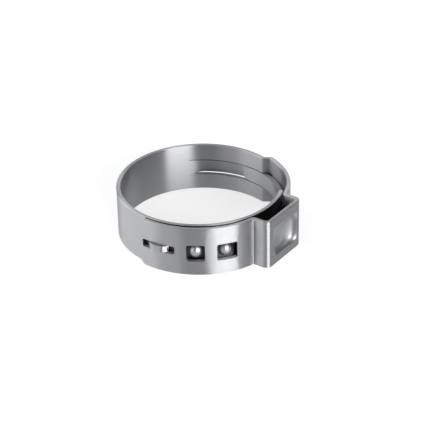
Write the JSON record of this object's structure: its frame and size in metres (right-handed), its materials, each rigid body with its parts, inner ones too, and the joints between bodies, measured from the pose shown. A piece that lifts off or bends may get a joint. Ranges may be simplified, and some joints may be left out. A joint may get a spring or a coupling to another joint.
{
  "type": "ear hose clamp",
  "caption": "Stepless ear clamp for hose: a steel strip wound round itself, held by load hooks in windows, with an open ear, a guide tab and a tongue running in its own channel.",
  "frame": {"origin": "on the bore axis, at the middle of the strip's width", "axes": "+Z along the bore axis, up when the clamp lies on its rim; +X from the bore axis through the middle of the ear"},
  "size_m": [0.0252, 0.0249, 0.007],
  "materials": {
    "stainless_strip": "bright rolled stainless strip with a faint lengthwise grain"
  },
  "bodies": {
    "root": {"clamp_band": "stainless_strip"}
  },
  "joints": []
}
